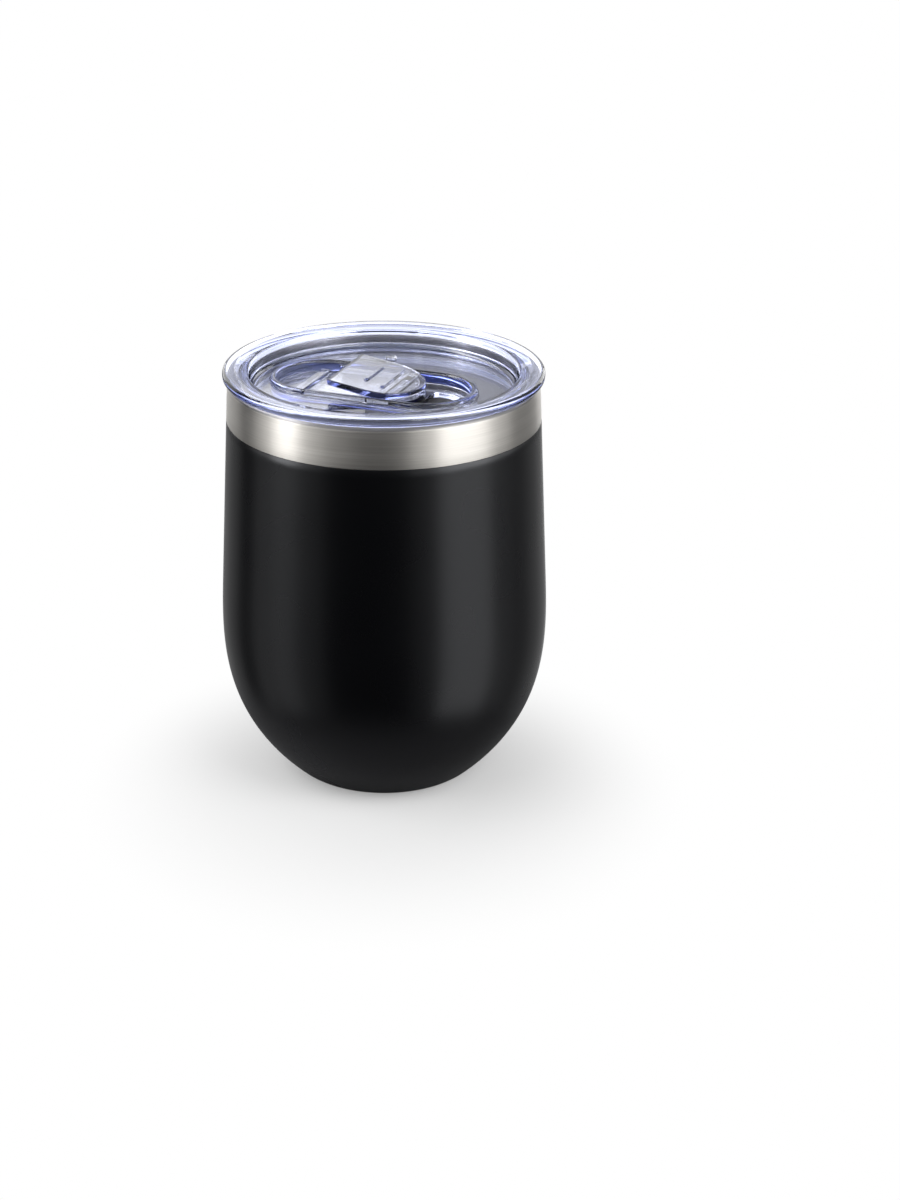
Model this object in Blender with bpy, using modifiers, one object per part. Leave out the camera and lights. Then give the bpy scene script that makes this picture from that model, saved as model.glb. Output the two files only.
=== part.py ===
"""Egg-shaped insulated tumbler with a clear press-in lid and a sliding closure, for Blender 4.5.

Metres, +Z up. The origin is the centre of the foot, on the table. The closure slides along X and
covers the drink hole as it moves towards +X. It is modelled open.
"""

import math

import bmesh
import bpy

MM = 0.001

# Cup: a straight taper from the mouth, less a rounded drop towards the foot
MOUTH_RADIUS = 40.7 * MM
MOUTH_HEIGHT = 110.7 * MM
TAPER = 0.0532
ROUND_HEIGHT = 57.0 * MM
ROUND_POWER = 3.1
FOOT_RADIUS = 24.65 * MM
CORNER_HEIGHT = 1.86 * MM
CORNER_DEPTH = 1.55 * MM

# Cup: wall, bare band and foot
LIP_RADIUS = 1.2 * MM
WALL = 4.6 * MM
THIN_WALL_HEIGHT = 101.0 * MM
FULL_WALL_HEIGHT = 86.0 * MM
BAND_EDGE = 100.2 * MM
BAND_MIDDLE = 106.0 * MM
INNER_BOTTOM = 8.0 * MM
INNER_CORNER_HEIGHT = 20.0 * MM
INNER_CORNER_REACH = 12.6 * MM
INNER_HEIGHTS = [z * MM for z in (26, 34, 44, 60, 76, 86, 90, 94, 98, 101)]
FOOT_RING_WIDTH = 5.0 * MM
FOOT_RECESS = 1.4 * MM
FOOT_EDGE = 0.5 * MM

# Powder coat skin over the cup
COAT = 0.5 * MM
COAT_BOTTOM = 0.45 * MM
GAP = 0.3 * MM

# Lid: flange, dished floor and skirt
FLANGE_RADIUS = 41.9 * MM
FLANGE_TOP = 113.6 * MM
FLANGE_BOTTOM = MOUTH_HEIGHT + GAP
FLANGE_EDGE = 1.3 * MM
WELL_RADIUS = 34.6 * MM
WELL_FILLET = 1.5 * MM
WELL_SHOULDER = (
    (35.3 * MM, 112.0 * MM),
    (35.9 * MM, 112.9 * MM),
    (37.2 * MM, 113.4 * MM),
    (39.4 * MM, FLANGE_TOP),
)
SKIRT_RADIUS = 37.3 * MM
SKIRT_BOTTOM = 102.6 * MM
SKIRT_WALL = 2.1 * MM
SKIRT_EDGE = 0.6 * MM
SKIRT_DRAFT = 0.3 * MM
FLOOR_TOP = 108.0 * MM
FLOOR_BOTTOM = 105.8 * MM
GROOVE_TOP = 108.6 * MM
GROOVE_BOTTOM = 105.0 * MM
GROOVE_DEPTH = 1.0 * MM
GASKET_RADIUS = 38.0 * MM
GASKET_BODY = 37.4 * MM
FIN_DROP = 0.4 * MM
FIN_ROOT = 1.0 * MM

# Lid: the track that the closure runs in
TRACK_LEFT = -29.6 * MM
TRACK_RIGHT = 23.4 * MM
TRACK_HALF_WIDTH = 12.3 * MM
TRACK_FLOOR = 104.6 * MM
TRACK_BASE = 103.2 * MM
BORDER_WIDTH = 1.6 * MM
BORDER_TOP = 109.2 * MM
RAIL_REACH = 1.1 * MM
RAIL_ENDS = (-20.0 * MM, 0.0)
RAIL_HEIGHTS = (106.9 * MM, 108.1 * MM)
HOLE_LEFT = 10.2 * MM
HOLE_RIGHT = 21.9 * MM
HOLE_HALF_WIDTH = 10.2 * MM
NUB_PLACE = (-7.1 * MM, 22.9 * MM)
NUB_SIZE = (2.6 * MM, 2.0 * MM)
NUB_BASE = 107.5 * MM
NUB_TOP = 108.7 * MM
OVERCUT = 3.0 * MM

# Sliding closure
SIDE_GAP = 0.4 * MM
SLIDER_LENGTH = 40.0 * MM
PLATE_THICKNESS = 1.6 * MM
BLOCK_LEFT = 5.2 * MM
BLOCK_TOP_RIGHT = 109.4 * MM
BLOCK_CREASE = (6.7 * MM, 109.6 * MM)
BLOCK_DRAFT = 0.2 * MM
BLOCK_SKIN = 1.5 * MM
CAVITY_TOP = 108.0 * MM
FLAP_LEFT = -11.2 * MM
FLAP_TOP = 112.2 * MM
FLAP_THICKNESS = 1.5 * MM
FLAP_ROOT = ((3.4 * MM, 108.2 * MM), (5.2 * MM, 107.2 * MM))
RIB_PLACES = (-2.8 * MM, 2.4 * MM)
RIB_LENGTHS = (11.0 * MM, 15.0 * MM)
RIB_WIDTH = 1.0 * MM
RIB_HEIGHT = 0.6 * MM
BAR_PLACE = -20.5 * MM
BAR_LENGTH = 19.0 * MM
BAR_WIDTH = 2.7 * MM
BAR_HEIGHT = 1.0 * MM

TURN_STEPS = 48
ARC_STEPS = 15
COAT_STATIONS = 13
WALL_STATIONS = 8


def clear_scene():
    for item in list(bpy.data.objects):
        bpy.data.objects.remove(item)


def new_collection(name):
    collection = bpy.data.collections.new(name)
    bpy.context.scene.collection.children.link(collection)
    return collection


def principled(name, colour, roughness, metallic=0.0, transmission=0.0):
    material = bpy.data.materials.new(name)
    material.use_nodes = True
    shader = material.node_tree.nodes["Principled BSDF"]
    shader.inputs["Base Color"].default_value = (*colour, 1.0)
    shader.inputs["Roughness"].default_value = roughness
    shader.inputs["Metallic"].default_value = metallic
    shader.inputs["Transmission Weight"].default_value = transmission
    return material


def add_object(name, mesh, collection, material=None):
    item = bpy.data.objects.new(name, mesh)
    collection.objects.link(item)
    if material:
        mesh.materials.append(material)
    return item


def hide_helper(item):
    item.hide_render = True
    item.display_type = "WIRE"


def shade(item):
    """Rounds the shading of turned faces and keeps real edges crisp."""
    item.data.shade_smooth()
    item.data.set_sharp_from_angle(angle=math.radians(35))


def turned(name, profile, collection, material, closed=False):
    """A solid of revolution about Z. The profile of (radius, height) runs down its outer side."""
    mesh = bpy.data.meshes.new(name)
    edges = [(i, i + 1) for i in range(len(profile) - 1)]
    if closed:
        edges.append((len(profile) - 1, 0))
    mesh.from_pydata([(radius, 0.0, height) for radius, height in profile], edges, [])
    item = add_object(name, mesh, collection, material)
    screw = item.modifiers.new("turn", "SCREW")
    screw.axis = "Z"
    screw.steps = TURN_STEPS
    screw.render_steps = TURN_STEPS
    screw.use_merge_vertices = True
    screw.merge_threshold = 0.001 * MM
    screw.use_smooth_shade = True
    return item


def extruded(name, outline, low, high, collection, material=None, along="Z"):
    """A flat outline made solid between two places: XY points along Z, or XZ points along Y."""
    curve = bpy.data.curves.new(name, "CURVE")
    curve.dimensions = "2D"
    curve.fill_mode = "BOTH"
    curve.extrude = (high - low) / 2
    spline = curve.splines.new("POLY")
    spline.points.add(len(outline) - 1)
    for point, (x, y) in zip(spline.points, outline):
        point.co = (x, y, 0.0, 1.0)
    spline.use_cyclic_u = True
    guide = bpy.data.objects.new(name + "_outline", curve)
    collection.objects.link(guide)
    middle = (low + high) / 2
    if along == "Z":
        guide.location = (0.0, 0.0, middle)
    else:
        guide.location = (0.0, middle, 0.0)
        guide.rotation_euler = (math.radians(90), 0.0, 0.0)
    bpy.context.view_layer.update()
    graph = bpy.context.evaluated_depsgraph_get()
    mesh = bpy.data.meshes.new_from_object(guide.evaluated_get(graph))
    mesh.name = name
    weld(mesh)
    item = add_object(name, mesh, collection, material)
    item.matrix_world = guide.matrix_world
    bpy.data.objects.remove(guide)
    return item


def weld(mesh):
    shape = bmesh.new()
    shape.from_mesh(mesh)
    bmesh.ops.remove_doubles(shape, verts=shape.verts, dist=0.001 * MM)
    bmesh.ops.recalc_face_normals(shape, faces=shape.faces)
    shape.to_mesh(mesh)
    shape.free()


def block(name, centre, size, collection, tilt=0.0):
    """A box helper, tilted about Y."""
    shape = bmesh.new()
    bmesh.ops.create_cube(shape, size=1.0)
    bmesh.ops.scale(shape, vec=size, verts=shape.verts)
    mesh = bpy.data.meshes.new(name)
    shape.to_mesh(mesh)
    shape.free()
    item = add_object(name, mesh, collection)
    item.location = centre
    item.rotation_euler = (0.0, tilt, 0.0)
    return item


def combine(item, helper, operation):
    boolean = item.modifiers.new(helper.name, "BOOLEAN")
    boolean.operation = operation
    boolean.object = helper
    boolean.solver = "EXACT"
    hide_helper(helper)


def arc(centre, radius, start, end, steps):
    """Points of an arc from one angle to another, in degrees."""
    points = []
    for step in range(steps + 1):
        angle = math.radians(start + (end - start) * step / steps)
        points.append((centre[0] + radius * math.cos(angle), centre[1] + radius * math.sin(angle)))
    return points


def stadium(left, right, half_width):
    """The outline of a slot with round ends, anticlockwise."""
    right_end = arc((right - half_width, 0.0), half_width, -90, 90, ARC_STEPS)
    left_end = arc((left + half_width, 0.0), half_width, 90, 270, ARC_STEPS)
    return right_end + left_end


def outer_radius(height):
    """The cup's outer radius at a height."""
    line = MOUTH_RADIUS + TAPER * (MOUTH_HEIGHT - height)
    drop = MOUTH_RADIUS + TAPER * MOUTH_HEIGHT - FOOT_RADIUS
    rounded = drop * max(0.0, 1 - height / ROUND_HEIGHT) ** ROUND_POWER
    corner = CORNER_DEPTH * max(0.0, 1 - height / CORNER_HEIGHT) ** 2
    return line - rounded - corner


def stations(top, count):
    """Heights down the coated wall: two on the straight taper, the rest closer together to the foot."""
    straight = [top, (top + ROUND_HEIGHT) / 2]
    bend = ROUND_HEIGHT - COAT_BOTTOM
    return straight + [COAT_BOTTOM + bend * (1 - step / (count - 1)) ** 1.4 for step in range(count)]


def inner_radius(height):
    """The liner's inner radius: a thin wall at the mouth that grows to the full double wall."""
    mouth = MOUTH_RADIUS - 2 * LIP_RADIUS
    share = (THIN_WALL_HEIGHT - height) / (THIN_WALL_HEIGHT - FULL_WALL_HEIGHT)
    share = min(1.0, max(0.0, share))
    smooth = share * share * (3 - 2 * share)
    return mouth * (1 - smooth) + (outer_radius(height) - WALL) * smooth


def cup_outside():
    """The lip, the bare band and the wall that the coat covers, from the top down."""
    lip_centre = (MOUTH_RADIUS - LIP_RADIUS, MOUTH_HEIGHT - LIP_RADIUS)
    lip = arc(lip_centre, LIP_RADIUS, 90, 0, 4)
    band = [(outer_radius(z), z) for z in (BAND_MIDDLE, BAND_EDGE)]
    covered = COAT + GAP
    heights = stations(BAND_EDGE, WALL_STATIONS)
    return lip + band + [(outer_radius(z) - covered, z) for z in heights]


def cup_foot():
    """The flat foot ring and the recessed base plate, inwards to the axis."""
    ring_outside = outer_radius(0.0) - COAT
    ring_inside = ring_outside - FOOT_RING_WIDTH
    return [
        (ring_outside, 0.0),
        (ring_inside, 0.0),
        (ring_inside - FOOT_EDGE, FOOT_EDGE),
        (ring_inside - 2 * FOOT_EDGE, FOOT_RECESS),
        (0.0, FOOT_RECESS),
    ]


def cup_inside():
    """The liner, from the middle of the bottom up to the lip."""
    corner_radius = inner_radius(INNER_CORNER_HEIGHT)
    flat = corner_radius - INNER_CORNER_REACH
    rise = INNER_CORNER_HEIGHT - INNER_BOTTOM
    corner = []
    for step in range(5):
        angle = math.radians(90 * step / 4)
        radius = flat + INNER_CORNER_REACH * math.sin(angle)
        corner.append((radius, INNER_CORNER_HEIGHT - rise * math.cos(angle)))
    wall = [(inner_radius(z), z) for z in INNER_HEIGHTS]
    lip_centre = (MOUTH_RADIUS - LIP_RADIUS, MOUTH_HEIGHT - LIP_RADIUS)
    return [(0.0, INNER_BOTTOM)] + corner + wall + arc(lip_centre, LIP_RADIUS, 180, 120, 2)


def make_vessel(parts):
    steel = principled("brushed_steel", (0.55, 0.53, 0.51), 0.32, metallic=1.0)
    vessel = turned("vessel", cup_inside() + cup_outside() + cup_foot(), parts, steel)
    shade(vessel)


def make_coat(parts):
    """The black skin between the bare band and the foot."""
    black = principled("black_powder_coat", (0.006, 0.006, 0.007), 0.5)
    top = BAND_EDGE - GAP
    heights = stations(top, COAT_STATIONS)
    outside = [(outer_radius(z), z) for z in heights]
    inside = [(outer_radius(z) - COAT, z) for z in reversed(heights)]
    coat = turned("powder_coat_shell", outside + inside, parts, black, closed=True)
    shade(coat)


def lid_profile():
    """Half of the turned lid: dished floor, flange, grooved skirt and underside."""
    fillet_centre = (WELL_RADIUS - WELL_FILLET, FLOOR_TOP + WELL_FILLET)
    well_fillet = arc(fillet_centre, WELL_FILLET, -90, 0, 3)
    edge_centre = (FLANGE_RADIUS - FLANGE_EDGE, FLANGE_TOP - FLANGE_EDGE)
    edge = arc(edge_centre, FLANGE_EDGE, 90, -90, 6)
    groove_radius = SKIRT_RADIUS - GROOVE_DEPTH
    skirt_inside = SKIRT_RADIUS - SKIRT_WALL
    skirt = [
        (SKIRT_RADIUS, FLANGE_BOTTOM),
        (SKIRT_RADIUS, GROOVE_TOP),
        (groove_radius, GROOVE_TOP),
        (groove_radius, GROOVE_BOTTOM),
        (SKIRT_RADIUS, GROOVE_BOTTOM),
        (SKIRT_RADIUS, SKIRT_BOTTOM + SKIRT_EDGE),
        (SKIRT_RADIUS - SKIRT_EDGE, SKIRT_BOTTOM),
        (skirt_inside, SKIRT_BOTTOM),
        (skirt_inside - SKIRT_DRAFT, FLOOR_BOTTOM),
    ]
    shoulder = list(WELL_SHOULDER)
    return [(0.0, FLOOR_TOP)] + well_fillet + shoulder + edge + skirt + [(0.0, FLOOR_BOTTOM)]


def hole_outline():
    """The drink hole: straight across on the closure's side, rounded towards the rim."""
    length = HOLE_RIGHT - HOLE_LEFT
    return [
        (HOLE_LEFT + length * x, HOLE_HALF_WIDTH * y)
        for x, y in arc((0.0, 0.0), 1.0, -90, 90, ARC_STEPS)
    ]


def track_inset(inset):
    return stadium(TRACK_LEFT + inset, TRACK_RIGHT - inset, TRACK_HALF_WIDTH - inset)


def make_lid(parts, helpers):
    clear = principled("clear_plastic", (0.86, 0.88, 0.95), 0.05, transmission=1.0)
    lid = turned("lid", lid_profile(), parts, clear)
    tub = extruded("track_tub", track_inset(-BORDER_WIDTH), TRACK_BASE, BORDER_TOP, helpers)
    combine(lid, tub, "UNION")
    pocket = extruded("track_pocket", track_inset(0.0), TRACK_FLOOR, FLANGE_TOP + OVERCUT, helpers)
    combine(lid, pocket, "DIFFERENCE")
    hole_top = (TRACK_FLOOR + BORDER_TOP) / 2
    hole = extruded("drink_hole", hole_outline(), TRACK_BASE - OVERCUT, hole_top, helpers)
    combine(lid, hole, "DIFFERENCE")
    for side in (-1, 1):
        combine(lid, rail(side, helpers), "UNION")
    nub_centre = (*NUB_PLACE, (NUB_BASE + NUB_TOP) / 2)
    nub = block("floor_nub", nub_centre, (*NUB_SIZE, NUB_TOP - NUB_BASE), helpers)
    combine(lid, nub, "UNION")
    shade(lid)


def rail(side, helpers):
    """A ledge over the closure's edge, which keeps it in its track."""
    inner = TRACK_HALF_WIDTH - RAIL_REACH
    outer = TRACK_HALF_WIDTH + BORDER_WIDTH / 2
    centre = (sum(RAIL_ENDS) / 2, side * (inner + outer) / 2, sum(RAIL_HEIGHTS) / 2)
    size = (RAIL_ENDS[1] - RAIL_ENDS[0], outer - inner, RAIL_HEIGHTS[1] - RAIL_HEIGHTS[0])
    return block("rail_left" if side < 0 else "rail_right", centre, size, helpers)


def make_gasket(parts):
    """The silicone ring in the skirt's groove, with two soft fins against the liner."""
    silicone = principled("clear_silicone", (0.72, 0.74, 0.78), 0.35, transmission=0.4)
    inner = SKIRT_RADIUS - GROOVE_DEPTH + GAP
    low = GROOVE_BOTTOM + GAP
    high = GROOVE_TOP - GAP
    profile = [
        (inner, high),
        (GASKET_BODY, high),
        (GASKET_RADIUS, high - FIN_DROP),
        (GASKET_BODY, high - FIN_ROOT),
        (GASKET_BODY, low + FIN_ROOT),
        (GASKET_RADIUS, low + FIN_DROP),
        (GASKET_BODY, low),
        (inner, low),
    ]
    gasket = turned("gasket", profile, parts, silicone, closed=True)
    shade(gasket)


def slider_inset(inset):
    """The closure's outline from above, or one inside it."""
    left = TRACK_LEFT + SIDE_GAP
    right = left + SLIDER_LENGTH
    return stadium(left + inset, right - inset, TRACK_HALF_WIDTH - SIDE_GAP - inset)


def slider_side():
    """The closure seen from its side, as (x, z): a plate, a block at the right and an overhanging flap."""
    low = TRACK_FLOOR + GAP
    left = TRACK_LEFT - OVERCUT
    plate_top = low + PLATE_THICKNESS
    return [
        (left, low),
        (TRACK_RIGHT, low),
        (TRACK_RIGHT, BLOCK_TOP_RIGHT),
        BLOCK_CREASE,
        (FLAP_LEFT, FLAP_TOP),
        (FLAP_LEFT + BLOCK_DRAFT, FLAP_TOP - FLAP_THICKNESS),
        *FLAP_ROOT,
        (BLOCK_LEFT + BLOCK_DRAFT, plate_top),
        (left, plate_top),
    ]


def flap_slope():
    """How far the flap's top falls for each metre along X."""
    return (FLAP_TOP - BLOCK_CREASE[1]) / (BLOCK_CREASE[0] - FLAP_LEFT)


def make_slider(parts, helpers):
    """The closure, which slides along X: its block is a skin round a hollow that is open to the left."""
    clear = principled("clear_plastic_slider", (0.84, 0.86, 0.95), 0.05, transmission=1.0)
    outline = slider_inset(0.0)
    slider = extruded("slider", outline, TRACK_BASE, FLANGE_TOP, parts, clear)
    reach = TRACK_HALF_WIDTH + OVERCUT
    side = extruded("slider_side", slider_side(), -reach, reach, helpers, along="Y")
    combine(slider, side, "INTERSECT")
    plate_top = TRACK_FLOOR + GAP + PLATE_THICKNESS
    cavity = extruded("block_cavity", slider_inset(BLOCK_SKIN), plate_top, CAVITY_TOP, helpers)
    combine(slider, cavity, "DIFFERENCE")
    slope = flap_slope()
    for number, (place, length) in enumerate(zip(RIB_PLACES, RIB_LENGTHS), start=1):
        top = FLAP_TOP - slope * (place - FLAP_LEFT)
        rib_size = (RIB_WIDTH, length, 2 * RIB_HEIGHT)
        rib = block(f"grip_rib_{number}", (place, 0.0, top), rib_size, helpers, tilt=math.atan(slope))
        combine(slider, rib, "UNION")
    bar_size = (BAR_WIDTH, BAR_LENGTH, 2 * BAR_HEIGHT)
    combine(slider, block("tail_bar", (BAR_PLACE, 0.0, plate_top), bar_size, helpers), "UNION")
    shade(slider)


def main():
    clear_scene()
    parts = new_collection("insulated_tumbler")
    helpers = new_collection("cutters")
    make_vessel(parts)
    make_coat(parts)
    make_lid(parts, helpers)
    make_gasket(parts)
    make_slider(parts, helpers)


main()
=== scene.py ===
"""Looks of an egg-shaped insulated tumbler with a clear lid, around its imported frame.

The frame fixes every size. This script adds the fine surfaces, the finishes, the studio and the
camera. Lengths in the classes are millimetres, and every mesh is written in metres.
"""

import logging
import math
from collections.abc import Sequence
from dataclasses import dataclass, field
from enum import Enum
from typing import Any

import bmesh
import bpy
from mathutils import Matrix, Vector

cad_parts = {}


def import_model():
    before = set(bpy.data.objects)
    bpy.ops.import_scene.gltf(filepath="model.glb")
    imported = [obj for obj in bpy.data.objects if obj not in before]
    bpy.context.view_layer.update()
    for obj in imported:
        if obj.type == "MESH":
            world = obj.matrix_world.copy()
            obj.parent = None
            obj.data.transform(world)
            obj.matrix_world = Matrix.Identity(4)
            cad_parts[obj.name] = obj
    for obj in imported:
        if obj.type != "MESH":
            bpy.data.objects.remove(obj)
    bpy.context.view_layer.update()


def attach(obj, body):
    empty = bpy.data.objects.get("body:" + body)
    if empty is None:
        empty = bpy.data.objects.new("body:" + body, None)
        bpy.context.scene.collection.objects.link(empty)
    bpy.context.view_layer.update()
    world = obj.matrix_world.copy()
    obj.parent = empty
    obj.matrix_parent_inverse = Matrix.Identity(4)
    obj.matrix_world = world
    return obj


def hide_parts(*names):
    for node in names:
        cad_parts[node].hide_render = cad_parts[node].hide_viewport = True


MM = 0.001
TURN_STEPS = 192
CRISP_ANGLE = 35.0
LOG = logging.getLogger("tumbler")

Point = tuple[float, float]
Triple = tuple[float, float, float]


class Body(Enum):
    """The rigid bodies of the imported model."""

    TUMBLER = "tumbler"
    SLIDER = "slider"


class Slot(Enum):
    """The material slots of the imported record."""

    STEEL = "steel"
    POWDER_COAT = "powder_coat"
    CLEAR_LID = "clear_lid"
    SILICONE = "silicone"
    CLEAR_SLIDER = "clear_slider"


class Merge(Enum):
    """What a helper shape does to a piece."""

    JOIN = "UNION"
    CUT = "DIFFERENCE"
    KEEP_COMMON = "INTERSECT"


def linear(hex_colour: str, alpha: float = 1.0) -> tuple[float, float, float, float]:
    """Turns an sRGB hex colour into linear RGBA.

    Args:
        hex_colour: Six hex digits, with or without a leading hash.
        alpha: The fourth value.

    Returns:
        The linear colour.
    """
    digits = hex_colour.lstrip("#")
    shares = [int(digits[i : i + 2], 16) / 255 for i in (0, 2, 4)]
    values = [c / 12.92 if c <= 0.04045 else ((c + 0.055) / 1.055) ** 2.4 for c in shares]
    return (*values, alpha)


def add_node(
    tree: bpy.types.NodeTree,
    kind: str,
    settings: dict[str, Any] | None = None,
    sockets: dict[str | int, Any] | None = None,
) -> bpy.types.Node:
    """Adds a node, sets its properties, and sets or links its inputs.

    Args:
        tree: The node tree.
        kind: The node's type, such as ShaderNodeTexNoise.
        settings: Values by property name.
        sockets: Constants or output sockets by input name or number.

    Returns:
        The new node.
    """
    node = tree.nodes.new(kind)
    for name, value in (settings or {}).items():
        setattr(node, name, value)
    for name, value in (sockets or {}).items():
        if isinstance(value, bpy.types.NodeSocket):
            tree.links.new(value, node.inputs[name])
        else:
            node.inputs[name].default_value = value
    return node


def empty_material(name: str) -> tuple[bpy.types.Material, bpy.types.NodeTree]:
    """Makes a material with no nodes.

    Args:
        name: The material's name.

    Returns:
        The material and its node tree.
    """
    material = bpy.data.materials.new(name)
    material.use_nodes = True
    material.node_tree.nodes.clear()
    return material, material.node_tree


@dataclass(frozen=True)
class BrushedSteel:
    """Stainless steel 304, brushed round the cup on a lathe.

    The eye sees warm grey metal, fine lines round the cup, and highlights drawn out up and down.
    The real lines are about 0.05 mm apart. They are drawn about 0.3 mm apart to show at all.
    """

    colour: str = "#C3C0BB"
    dark_colour: str = "#B8B5B0"
    roughness: float = 0.42
    roughness_swing: float = 0.03
    anisotropy: float = 0.9
    line_pitch: float = 0.3
    line_length: float = 30.0
    relief: float = 0.0008
    # A darker steel colour on the liner and the rolled lip: painted shade inside the cup and under
    # the lid's flange.
    painted_shade_colour: str = "#8A8886"
    liner_reach: float = 39.5
    lip_height: float = 109.9
    mask_blend: float = 0.1

    def unshaded_share(
        self, tree: bpy.types.NodeTree, place: bpy.types.NodeSocket
    ) -> bpy.types.NodeSocket:
        """0 on the liner and the rolled lip, which take a darker colour as painted shade inside the
        cup and under the lid, and 1 on the band.

        Args:
            tree: The node tree.
            place: Object coordinates.

        Returns:
            The share.
        """
        flat = add_node(
            tree, "ShaderNodeVectorMath", {"operation": "MULTIPLY"}, {0: place, 1: (1, 1, 0)}
        ).outputs["Vector"]
        radius = add_node(
            tree, "ShaderNodeVectorMath", {"operation": "LENGTH"}, {0: flat}
        ).outputs["Value"]
        height = add_node(tree, "ShaderNodeSeparateXYZ", sockets={"Vector": place}).outputs["Z"]
        blend = self.mask_blend * MM
        beyond_liner = add_node(
            tree,
            "ShaderNodeMapRange",
            sockets={
                "Value": radius,
                "From Min": self.liner_reach * MM - blend,
                "From Max": self.liner_reach * MM + blend,
            },
        ).outputs["Result"]
        below_lip = add_node(
            tree,
            "ShaderNodeMapRange",
            sockets={
                "Value": height,
                "From Min": self.lip_height * MM + blend,
                "From Max": self.lip_height * MM - blend,
            },
        ).outputs["Result"]
        return add_node(
            tree, "ShaderNodeMath", {"operation": "MULTIPLY"}, {0: beyond_liner, 1: below_lip}
        ).outputs["Value"]

    def material(self) -> bpy.types.Material:
        """Builds the node material.

        Returns:
            The material.
        """
        material, tree = empty_material("brushed_stainless_steel")
        place = add_node(tree, "ShaderNodeTexCoord").outputs["Object"]
        along = 1 / (self.line_length * MM)
        across = 1 / (self.line_pitch * MM)
        stretched = add_node(
            tree, "ShaderNodeMapping", sockets={"Vector": place, "Scale": (along, along, across)}
        ).outputs["Vector"]
        lines = add_node(
            tree,
            "ShaderNodeTexNoise",
            sockets={"Vector": stretched, "Scale": 1.0, "Detail": 3.0, "Roughness": 0.6},
        ).outputs["Fac"]
        tone = add_node(
            tree,
            "ShaderNodeMapRange",
            sockets={"Value": lines, "From Min": 0.35, "From Max": 0.65},
        ).outputs["Result"]
        brushed = add_node(
            tree,
            "ShaderNodeMix",
            {"data_type": "RGBA"},
            {"Factor": tone, 6: linear(self.dark_colour), 7: linear(self.colour)},
        ).outputs[2]
        # Painted shade: the liner and the lip take the darker colour, for the shade inside the cup
        # and under the lid.
        outside = self.unshaded_share(tree, place)
        colour = add_node(
            tree,
            "ShaderNodeMix",
            {"data_type": "RGBA"},
            {"Factor": outside, 6: linear(self.painted_shade_colour), 7: brushed},
        ).outputs[2]
        roughness = add_node(
            tree,
            "ShaderNodeMapRange",
            sockets={
                "Value": lines,
                "From Min": 0.3,
                "From Max": 0.7,
                "To Min": self.roughness - self.roughness_swing,
                "To Max": self.roughness + self.roughness_swing,
            },
        ).outputs["Result"]
        bump = add_node(
            tree,
            "ShaderNodeBump",
            sockets={"Height": lines, "Distance": self.relief * MM, "Strength": 1.0},
        ).outputs["Normal"]
        tangent = add_node(
            tree, "ShaderNodeTangent", {"direction_type": "RADIAL", "axis": "Z"}
        ).outputs["Tangent"]
        shader = add_node(
            tree,
            "ShaderNodeBsdfPrincipled",
            sockets={
                "Base Color": colour,
                "Metallic": 1.0,
                "Roughness": roughness,
                "Anisotropic": self.anisotropy,
                "Anisotropic Rotation": 0.25,
                "Normal": bump,
                "Tangent": tangent,
            },
        )
        add_node(tree, "ShaderNodeOutputMaterial", sockets={"Surface": shader.outputs["BSDF"]})
        return material


@dataclass(frozen=True)
class PowderCoat:
    """Polyester powder coat, sprayed on and baked: a deep black with a soft satin sheen.

    The melted powder leaves a fine grain of about 0.35 mm and a faint slow unevenness.
    """

    colour: str = "#030304"
    roughness: float = 0.28
    roughness_swing: float = 0.03
    specular: float = 0.5
    sheen_colour: str = "#F8FAFF"
    grain: float = 0.35
    drift_length: float = 22.2
    relief: float = 0.004

    def material(self) -> bpy.types.Material:
        """Builds the node material.

        Returns:
            The material.
        """
        material, tree = empty_material("black_powder_coat")
        place = add_node(tree, "ShaderNodeTexCoord").outputs["Object"]
        grain = add_node(
            tree,
            "ShaderNodeTexNoise",
            sockets={"Vector": place, "Scale": 1 / (self.grain * MM), "Detail": 2.0},
        ).outputs["Fac"]
        drift = add_node(
            tree,
            "ShaderNodeTexNoise",
            sockets={"Vector": place, "Scale": 1 / (self.drift_length * MM), "Detail": 1.0},
        ).outputs["Fac"]
        roughness = add_node(
            tree,
            "ShaderNodeMapRange",
            sockets={
                "Value": drift,
                "To Min": self.roughness - self.roughness_swing,
                "To Max": self.roughness + self.roughness_swing,
            },
        ).outputs["Result"]
        bump = add_node(
            tree,
            "ShaderNodeBump",
            sockets={"Height": grain, "Distance": self.relief * MM, "Strength": 1.0},
        ).outputs["Normal"]
        shader = add_node(
            tree,
            "ShaderNodeBsdfPrincipled",
            sockets={
                "Base Color": linear(self.colour),
                "Roughness": roughness,
                "Specular IOR Level": self.specular,
                "Specular Tint": linear(self.sheen_colour),
                "Normal": bump,
            },
        )
        add_node(tree, "ShaderNodeOutputMaterial", sockets={"Surface": shader.outputs["BSDF"]})
        return material


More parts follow.
